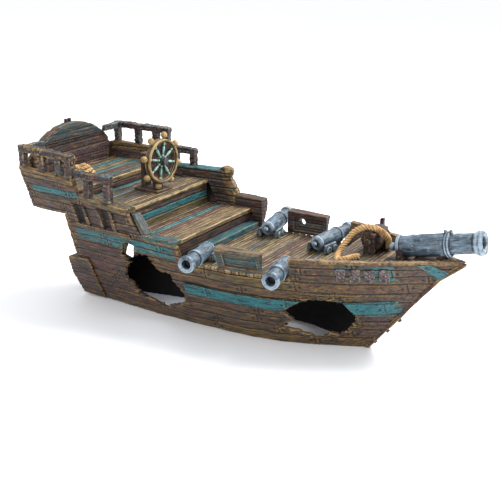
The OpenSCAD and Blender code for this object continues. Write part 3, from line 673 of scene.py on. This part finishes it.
timber("lower_quarterdeck", DECK, 0.7, Y, X, 6.4, (OLIVE, OLIVE, RUST, TAN, RUST, TAN, TAN),
       teals=(0.1, 0.1, 0.1, 1.0, 0.15, 0.1, 0.05), seed=55, offset=-76.6, brush=nosing(-32, TAN, 6.0))
timber("lower_riser", DARK, 0.5, Y, Z, 5.5, (WALNUT, BLACK), seed=56)
timber("ledge_step", TEAL, 0.45, Y, X, 0, (SLATE,), teal=0.85, seed=57)
timber("main_deck", DECK, 0.75, Y, X, 5.8,
       (TAN, WALNUT, RUST, OLIVE, TAN, OLIVE, SLATE, OLIVE, TAN),
       teals=(0.1, 0.75, 0.1, 0.15, 0.6, 0.1, 0.1, 0.2), seed=58, brush=sill_brush)
timber("forecastle_deck", DECK, 0.6, Y, X, 5.8, (OLIVE, WALNUT, TAN, SLATE),
       teals=(0.1, 0.4, 0.1), seed=59)
timber("forecastle_riser", DARK, 0.5, Y, Z, 5, (WALNUT,), seed=60)
GUNWALE_PANEL = (7, 33, 63.5, 74)
GUNWALE_CAP = 75.5
timber("gunwale_starboard", TEAL, 0.45, X, Z, 4.4, (SLATE, OLIVE), teals=(0.75, 0.6, 0.8),
       seed=61, panel=GUNWALE_PANEL, cap=(GUNWALE_CAP, TAN))
timber("gunwale_port", TEAL, 0.45, X, Z, 4.4, (SLATE, WALNUT), teals=(0.6, 0.4, 0.7), seed=62,
       panel=GUNWALE_PANEL, cap=(GUNWALE_CAP, RUST))
timber("bow_caps", TRIM, 0.5, X, Y, 0, ((0.26, 0.17, 0.085),), seed=63, edge_wear=0.05,
       brush=bow_cap_brush, knots=0.35)
timber("carved_panels", GREY, 0.4, Z, X, 0, ((0.34, 0.25, 0.24),), teal=0.1, seed=64,
       lump=0.35, knots=0.9, brush=carved_brush)
timber("bow_plates", TEAL, 0.4, X, Z, 0, ((0.03, 0.20, 0.23),), teal=1.0, seed=65,
       brush=bow_plate_brush)
timber("stem_post", HULL, 0.5, X, Z, 0, (WALNUT,), seed=66)
timber("bow_gun_chock", DARK, 0.5, Y, Z, 0, ((0.03, 0.022, 0.020),), seed=67)
timber("windlass_bitts", DARK, 0.4, Z, X, 0, ((0.05, 0.032, 0.024),), seed=68, knots=0.4)
timber("wheel_stand", DARK, 0.45, Z, Y, 0, ((0.10, 0.060, 0.030),), seed=69, knots=0.3)
timber("gun_carriages", GUN, 0.4, X, Z, 0, ((0.07, 0.10, 0.12),), seed=70, lump=0.15)


# ---------------------------------------------------------------- turned pieces
def frame_axes(d):
    d = unit(d)
    side = unit(np.cross([0, 0, 1.0], d))
    return d, side, np.cross(d, side)


def lathe(profile, origin, direction, sides=56):
    """Turns a list of (distance along, radius) about an axis; returns (verts, faces, grain coordinates)."""
    d, a, b = frame_axes(direction)
    origin = np.asarray(origin, float)
    verts, grain, faces = [], [], []
    for s, r in profile:
        for j in range(sides):
            t = 2 * math.pi * j / sides
            verts.append(origin + d * s + r * (math.cos(t) * a + math.sin(t) * b))
            grain.append((s, 8 * math.cos(t), 8 * math.sin(t)))
    for i in range(len(profile) - 1):
        for j in range(sides):
            k = (j + 1) % sides
            faces.append([i * sides + j, i * sides + k, (i + 1) * sides + k, (i + 1) * sides + j])
    faces.append(list(range(sides))[::-1])
    faces.append([(len(profile) - 1) * sides + j for j in range(sides)])
    return np.array(verts), faces, np.array(grain)


def dense(profile, step):
    out = [profile[0]]
    for a, b in zip(profile, profile[1:]):
        n = max(1, int(math.hypot(b[0] - a[0], b[1] - a[1]) / step))
        out += [(a[0] + (b[0] - a[0]) * i / n, a[1] + (b[1] - a[1]) * i / n) for i in range(1, n + 1)]
    return out


def turned_piece(name, parts, material, tint, body="root", replaces=(), seed=1, lump=0.12, pit=0.08,
                 ridge_scale=0.3, extra_tint=None):
    """One piece out of (verts, faces, grain coordinates) parts, with a cast surface and a worn tint."""
    verts, faces, grain, base = [], [], [], 0
    for v, f, g in parts:
        verts.append(v)
        grain.append(g)
        faces += [[i + base for i in face] for face in f]
        base += len(v)
    verts, grain = np.concatenate(verts), np.concatenate(grain)
    me = mesh_from(name, verts, faces)
    n = normals(me)
    move = lump * noise(verts / 3.0, seed) + pit * noise(verts / 1.1, seed + 1)
    set_coords(me, verts + n * move[:, None])
    colour = np.tile(np.array(tint, float), (len(verts), 1))
    if extra_tint is not None:
        colour = extra_tint(verts, grain, colour)
    put_attributes(me, grain, colour, np.zeros(len(verts)), ridge_map(me, ridge_scale))
    return new_object(name, me, material, body, replaces)


def gun_profile(length, r, bore):
    """From the knob behind the breech, over one double band, to the muzzle and back down the bore."""
    return dense([
        (0, 0.02), (0, r * 0.16), (r * 0.08, r * 0.27), (r * 0.22, r * 0.34), (r * 0.38, r * 0.30),
        (r * 0.50, r * 0.20), (r * 0.60, r * 0.22), (r * 0.66, r * 0.62), (r * 0.76, r * 0.84),
        (r * 0.86, r * 0.90), (r * 1.05, r * 0.92), (r * 1.10, r * 0.85), (r * 1.30, r * 0.87),
        (length * 0.34, r * 0.95), (length * 0.59, r * 0.98), (length * 0.615, r * 0.95),
        (length * 0.62, r * 1.07), (length * 0.633, r * 1.10), (length * 0.642, r * 1.0),
        (length * 0.652, r * 1.07), (length * 0.662, r * 1.03), (length * 0.668, r * 0.88),
        (length * 0.72, r * 0.87),
        (length - r * 0.80, r * 0.84),
        (length - r * 0.62, r * 0.97), (length - r * 0.45, r * 1.04), (length - r * 0.12, r * 1.05),
        (length, r * 0.98), (length, bore + r * 0.10), (length - r * 0.08, bore + r * 0.02),
        (length - r * 0.14, bore), (length - r * 1.0, bore * 0.92), (length - r * 1.1, bore * 0.5),
        (length - r * 1.1, 0.02)], 0.8)


def gun_tint(verts, grain, colour):
    k = smooth(fractal(np.stack([grain[:, 0] / 9, grain[:, 1] / 3, grain[:, 2] / 3], 1), 5, 3), -0.35, 0.45)
    pale = np.array((0.12, 0.19, 0.25))
    return colour * (1 - k[:, None]) + pale * k[:, None]


# for each gun its breech and muzzle points, length, radius and bore radius
GUNS = {
    "gun_starboard_aft": ((-19.2, -31, 67.5), (-14, -74, 66), 43, 6, 3.4),
    "gun_starboard_fwd": ((45.8, -31, 67.6), (54, -73, 65.4), 43, 6, 3.4),
    "gun_port_aft": ((-4, 24, 68.4), (-10, 74, 69.6), 50, 6, 3.4),
    "gun_port_fwd": ((45.5, 9, 68), (52.5, 59, 68.8), 50, 6, 3.4),
    "bow_gun": ((110.1, 0, 79.25), (178.6, 0, 92.6), 68.6, 8.4, 4.7),
}


def gun(name, seed, breech, muzzle, length, r, bore):
    """A barrel with a vent field on its breech and, on the bow gun, a pair of lugs on the band."""
    breech, muzzle = np.array(breech, float), np.array(muzzle, float)
    parts = [lathe(gun_profile(length, r, bore), breech, muzzle - breech, 64)]
    d, side, up = frame_axes(muzzle - breech)
    vent = dense([(0, 0.02), (0, r * .16), (r * .14, r * .14), (r * .16, 0.02)], .4)
    parts.append(lathe(vent, breech + d * r * 2.2 + up * r * 0.84, up, 20))
    if name == "bow_gun":
        lug = dense([(0, 0.02), (0, 1.1), (1.0, 1.25), (1.9, 1.0), (2.3, 0.02)], .4)
        for s in (-1, 1):
            parts.append(lathe(lug, breech + d * length * 0.642 + up * r * 1.0 + d * s * 2.0, up, 24))
    turned_piece(name + "_barrel", parts, GUN, (0.05, 0.085, 0.12), replaces=(name,), seed=seed,
                 lump=0.26, pit=0.05, ridge_scale=0.5, extra_tint=gun_tint)


for i, (name, spec) in enumerate(GUNS.items()):
    gun(name, 80 + i, *spec)


# ---------------------------------------------------------------- ship's wheel
YAW = math.radians(-6)
AXIS = np.array([math.cos(YAW), math.sin(YAW), 0.0])
HUB = np.array([-84.0, 0.0, 119.5])
WSIDE = np.array([-math.sin(YAW), math.cos(YAW), 0.0])
WUP = np.array([0.0, 0.0, 1.0])
SPOKES = 8
FIRST_SPOKE = 12


def ring_lathe(profile, sides=96):
    """A closed ring section turned about the wheel's axis, as (distance forward, radius) points."""
    verts, grain, faces = [], [], []
    n = len(profile)
    for j in range(sides):
        t = 2 * math.pi * j / sides
        out = math.cos(t) * WSIDE + math.sin(t) * WUP
        for s, r in profile:
            verts.append(HUB + AXIS * s + out * r)
            grain.append((t * r, s, r))
    for j in range(sides):
        k = (j + 1) % sides
        for i in range(n):
            m = (i + 1) % n
            faces.append([j * n + i, j * n + m, k * n + m, k * n + i])
    return np.array(verts), faces, np.array(grain)


def rim_tint(verts, grain, colour):
    front = smooth(grain[:, 1], 0.6, 1.4)[:, None]
    web = (grain[:, 2] < 14.6)[:, None]
    colour = colour * (1 - front) + np.array((0.16, 0.115, 0.06)) * front
    return np.where(web, np.array((0.006, 0.007, 0.009)), colour)


rim = dense([(2.5, 16.9), (2.2, 17.4), (1.2, 17.4), (0.9, 16.9), (-2.2, 17.3), (-2.5, 16.9), (-2.5, 15.3),
             (-1.8, 14.9), (1.0, 14.8), (1.4, 15.4), (2.5, 15.6)], 0.5)
web = dense([(-0.5, 3.6), (-0.5, 15.1), (-1.9, 15.1), (-1.9, 3.6)], 0.8)
turned_piece("wheel_rim_turned", [ring_lathe(rim, 140), ring_lathe(web, 96)], GOLD,
             (0.15, 0.10, 0.04), "wheel", ("wheel_rim",), 90, 0.12, 0.06, extra_tint=rim_tint)
hub_profile = dense([(-2.6, 2.06), (-2.6, 3.4), (-2.2, 3.6), (1.6, 3.6), (2.2, 3.3), (2.8, 3.1), (3.0, 2.7),
                     (3.0, 2.06)], 0.4)
spoke_profile = dense([(3.3, 0.02), (3.3, 0.75), (4.2, 0.95), (5.4, 0.6), (8, 1.0), (10.5, 1.1), (12.2, 0.6),
                       (13.2, 0.95), (14.6, 0.8), (14.6, 0.02)], 0.5)
handle_profile = dense([(17.2, 0.02), (17.2, 1.3), (18.0, 1.2), (18.4, 1.9), (19.2, 2.5), (20.6, 2.65),
                        (22.0, 2.1), (22.8, 1.1), (22.9, 0.02)], 0.4)
spokes = [ring_lathe(hub_profile, 48)]
handles = []
for i in range(SPOKES):
    t = math.radians(90 - (i * 360 / SPOKES + FIRST_SPOKE))
    out = math.cos(t) * WSIDE + math.sin(t) * WUP
    spokes.append(lathe(spoke_profile, HUB + AXIS * 0.5, out, 20))
    handles.append(lathe(handle_profile, HUB - AXIS * 0.6, out, 24))
turned_piece("wheel_spokes_turned", spokes, MINT, (0.22, 0.42, 0.36), "wheel",
             ("wheel_spokes",), 91, 0.06, 0.05, ridge_scale=0.2)
turned_piece("wheel_handles_turned", handles, GOLD, (0.34, 0.21, 0.07), "wheel",
             ("wheel_handles",), 92, 0.10, 0.06)


def bulwark_brush(co, n, tint, mask, seed):
    end = smooth(co[:, 0] + (co[:, 2] - 92) * 0.35, -59, -55.5)
    top = smooth(co[:, 2], 102.2, 103.4) * (1 - end)
    gold = end * (0.7 + 0.3 * noise(co / 4.0, seed + 46))
    tint = blended(blended(tint, (0.02, 0.05, 0.065), top * 0.8), (0.50, 0.32, 0.08), gold)
    return tint, np.clip(mask + top * 0.5, 0, 1) * (1 - end)


def blob_mesh(name, profile, a, b, sides=28):
    v, f, g = lathe(dense(profile, 0.7), a, np.array(b, float) - np.array(a, float), sides)
    return mesh_from(name, v, f)


bulb = blob_mesh("bulb", [(0, 0.02), (0, 2.2), (1.2, 3.8), (3.6, 4.1), (6, 3.9), (7.6, 3.0), (8.4, 0.02)],
                 (-58, 52.0, 102.8), (-53.5, 54.6, 103.2))
post = blob_mesh("post", [(0, 0.02), (0, 1.9), (5, 1.5), (11, 2.4), (14.6, 1.5), (14.6, 0.02)],
                 (-55.5, 54, 99.5), (-47.6, 54, 86.5))
timber("quarter_bulwark_port", TEAL, 0.6, X, Z, 6.0, (WALNUT, PLUM),
       teals=(0.2, 0.55, 0.4, 0.15), seed=42, knots=0.15, brush=bulwark_brush, extra=(bulb, post))

# windlass barrel with whelps
barrel = dense([(0, 0.02), (0, 2.2), (0.3, 2.45), (7.5, 2.45), (7.8, 7.8), (8.6, 8.4), (11, 8.0), (16, 8.9),
                (21, 8.0), (23.6, 8.4), (24.4, 7.8), (24.7, 2.45), (30.6, 2.45), (31, 2.2), (31, 0.02)], 0.6)
turned_piece("windlass_barrel_turned", [lathe(barrel, (95, -6, 81.4), (0, 1, 0), 96)], DARK,
             (0.055, 0.034, 0.024), replaces=("windlass_barrel",), seed=95, lump=0.5, pit=0.25)


# ---------------------------------------------------------------- rope
def spline(points, step):
    p = np.array(points, float)
    p = np.concatenate([p[:1], p, p[-1:]])
    out = []
    for i in range(1, len(p) - 2):
        n = max(2, int(np.linalg.norm(p[i + 1] - p[i]) / step))
        for k in range(n):
            t = k / n
            out.append(0.5 * (2 * p[i] + (p[i + 1] - p[i - 1]) * t
                              + (2 * p[i - 1] - 5 * p[i] + 4 * p[i + 1] - p[i + 2]) * t * t
                              + (3 * p[i] - p[i - 1] - 3 * p[i + 1] + p[i + 2]) * t ** 3))
    out.append(p[-2])
    return np.array(out)


def laid(path, radius, pitch, strands=3, sides=10):
    """Strands twisted about a path: (verts, faces, grain)."""
    d = np.gradient(path, axis=0)
    d /= np.linalg.norm(d, axis=1)[:, None]
    a = np.zeros_like(d)
    a[0] = unit(np.cross(d[0], [0.3, 0.2, 1.0]))
    for i in range(1, len(d)):
        w = a[i - 1] - d[i] * np.dot(a[i - 1], d[i])
        a[i] = w / np.linalg.norm(w)
    b = np.cross(d, a)
    run = np.concatenate([[0], np.cumsum(np.linalg.norm(np.diff(path, axis=0), axis=1))])
    parts = []
    for s in range(strands):
        turn = 2 * math.pi * (run / pitch + s / strands)
        centre = path + radius * 0.5 * (np.cos(turn)[:, None] * a + np.sin(turn)[:, None] * b)
        verts, grain = [], []
        for j in range(sides):
            t = 2 * math.pi * j / sides
            verts.append(centre + radius * 0.56 * (math.cos(t) * a + math.sin(t) * b))
            grain.append(np.stack([run, run * 0 + 6 * math.cos(t), run * 0 + (6 * math.sin(t) + s)], 1))
        verts = np.stack(verts, 1).reshape(-1, 3)
        grain = np.stack(grain, 1).reshape(-1, 3)
        faces = []
        for i in range(len(path) - 1):
            for j in range(sides):
                k = (j + 1) % sides
                faces.append([i * sides + j, i * sides + k, (i + 1) * sides + k, (i + 1) * sides + j])
        faces.append(list(range(sides))[::-1])
        faces.append([(len(path) - 1) * sides + j for j in range(sides)])
        parts.append((verts, faces, grain))
    return parts


def rope_tint(verts, grain, colour):
    """Patchy wear along the rope."""
    worn = 0.5 + 0.5 * noise(verts / 4.0, 9)
    return colour * (0.55 + 0.75 * worn[:, None])


LOOPS = [(93.5, -16.8, 74.2), (90, -22.5, 74.2), (87.5, -29, 74.2), (84.3, -31, 74.3), (81.5, -26, 74.8),
         (80.3, -18, 77.2), (82, -12, 82.5), (86.2, -8.6, 88.8), (92.5, -7, 92.6), (99.4, -5, 92.8),
         (104.6, -1, 89), (106.4, 5.4, 83), (105, 9.5, 77), (102.6, 14.4, 74.2), (97, 17.6, 74.2)]
turned_piece("rope_loops_laid", laid(spline(LOOPS, 0.7), 2.2, 7.0, sides=12), ROPE,
             (0.44, 0.20, 0.06), replaces=("rope_loops",), seed=100, lump=0.06, pit=0.06,
             extra_tint=rope_tint)
heap = []
for i, (r, z) in enumerate(((9, 105.3), (7, 107.9), (5, 110.5))):
    ring = [(-150 + r * math.cos(t), -17 + r * math.sin(t), z + 0.5 * math.sin(3 * t + i))
            for t in np.linspace(0, 2 * math.pi, 13)]
    heap += laid(spline(ring, 0.7), 1.5, 7.0)
turned_piece("rope_heap_laid", heap, ROPE, (0.50, 0.28, 0.12), replaces=("rope_heap",),
             seed=101, lump=0.2, pit=0.1)


# ---------------------------------------------------------------- carried-over fittings
def refined(node, material, voxel, tint, seed, lump=0.05):
    """A small CAD fitting with rounded corners and its own paint."""
    me = remeshed([NODES[node].data], voxel)
    co, n = coords(me), normals(me)
    set_coords(me, co + n * (lump * noise(co / 1.2, seed))[:, None])
    colour = np.tile(np.array(tint, float), (len(co), 1))
    put_attributes(me, co.copy(), colour, np.zeros(len(co)), ridge_map(me, 0.25))
    return new_object(node + "_cast", me, material, "root", (node,))


refined("stem_bolts", IRON, 0.3, (0.02, 0.02, 0.022), 110)
refined("air_stone", STONE, 0.45, (0.50, 0.48, 0.43), 111, 0.35)
refined("tube_clip", PLASTIC, 0.4, (0.05, 0.055, 0.06), 112)
refined("air_inlet", PLASTIC, 0.25, (0.04, 0.045, 0.05), 113, 0.02)
refined("wheel_axle", IRON, 0.3, (0.10, 0.095, 0.08), 114)


def hose_material():
    mat = bpy.data.materials.new("air_hose_clear")
    mat.use_nodes = True
    nt = mat.node_tree
    bsdf = nt.nodes["Principled BSDF"]
    where = nt.nodes.new("ShaderNodeTexCoord").outputs["Object"]
    cloud = noise_node(nt, where, 90, 3, 0.5)
    link(nt, mix_node(nt, cloud, (0.55, 0.62, 0.66), (0.78, 0.83, 0.86)), bsdf.inputs["Base Color"])
    bsdf.inputs["Roughness"].default_value = 0.3
    bsdf.inputs["Transmission Weight"].default_value = 0.5
    b = nt.nodes.new("ShaderNodeBump")
    b.inputs["Strength"].default_value = 0.1
    link(nt, noise_node(nt, where, 800, 2, 0.5), b.inputs["Height"])
    link(nt, b.outputs["Normal"], bsdf.inputs["Normal"])
    return mat


NODES["air_tube"].data.materials.clear()
NODES["air_tube"].data.materials.append(hose_material())


# ---------------------------------------------------------------- stage, light and camera
def floor_material():
    mat = bpy.data.materials.new("studio_floor")
    mat.use_nodes = True
    bsdf = mat.node_tree.nodes["Principled BSDF"]
    bsdf.inputs["Base Color"].default_value = (0.955, 0.965, 0.985, 1)
    bsdf.inputs["Roughness"].default_value = 0.6
    return mat


FLOOR_SIZE = 60
FLOOR_DROP = 0.0002
bpy.ops.mesh.primitive_plane_add(size=FLOOR_SIZE, location=(0, 0, -FLOOR_DROP))
floor = bpy.context.active_object
floor.name = "studio_floor"
floor.data.materials.append(floor_material())

scene = bpy.context.scene
world = bpy.data.worlds.new("studio")
world.use_nodes = True
world.node_tree.nodes["Background"].inputs["Color"].default_value = (0.99, 0.995, 1.01, 1)
world.node_tree.nodes["Background"].inputs["Strength"].default_value = 1.03
scene.world = world


def area(name, location, target, size, power, colour=(1, 1, 1)):
    """A rectangular lamp, in metres and watts."""
    data = bpy.data.lights.new(name, "AREA")
    data.shape = "RECTANGLE"
    data.size, data.size_y = size
    data.energy = power
    data.color = colour
    ob = bpy.data.objects.new(name, data)
    ob.location = location
    ob.rotation_euler = (Vector(target) - Vector(location)).to_track_quat("-Z", "Y").to_euler()
    scene.collection.objects.link(ob)


area("key_softbox", (0.40, 0.50, 1.0), (0, 0, 0.05), (0.7, 0.7), 24)
# not a part: it only keeps the floor seen through the aft hole from going black
area("glow_inside_the_hull", (-0.062, -0.004, 0.046), (-0.062, -0.012, 0), (0.07, 0.035), 0.009,
     (0.85, 0.88, 1.0))
area("front_fill", (-0.5, -1.1, 0.7), (0, 0, 0.06), (0.8, 0.6), 4)
area("side_fill", (1.2, -0.5, 0.6), (0, 0, 0.06), (0.6, 0.6), 3)

# the camera fitted to the photo: degrees, then millimetres from the point it was fitted about
AZIMUTH, ELEVATION = 29.994, 17.661
LENS, SENSOR = 71.05, 36
SHIFT_RIGHT, SHIFT_UP, DISTANCE = -15.498, 41.419, 759.81
FITTED_ABOUT = (14, 0, 18)
az, el = math.radians(AZIMUTH), math.radians(ELEVATION)
back = Vector((math.sin(az) * math.cos(el), -math.cos(az) * math.cos(el), math.sin(el)))
right = Vector((math.cos(az), math.sin(az), 0))
up = back.cross(right)
cam_data = bpy.data.cameras.new("camera")
cam_data.lens = LENS
cam_data.sensor_width = SENSOR
cam_data.clip_start = 0.01
cam = bpy.data.objects.new("camera", cam_data)
scene.collection.objects.link(cam)
place = (right * SHIFT_RIGHT + up * SHIFT_UP + back * DISTANCE + Vector(FITTED_ABOUT)) * MM
cam.matrix_world = Matrix((
    (right.x, up.x, back.x, place.x),
    (right.y, up.y, back.y, place.y),
    (right.z, up.z, back.z, place.z),
    (0, 0, 0, 1)))
scene.camera = cam
scene.view_settings.view_transform = "Standard"
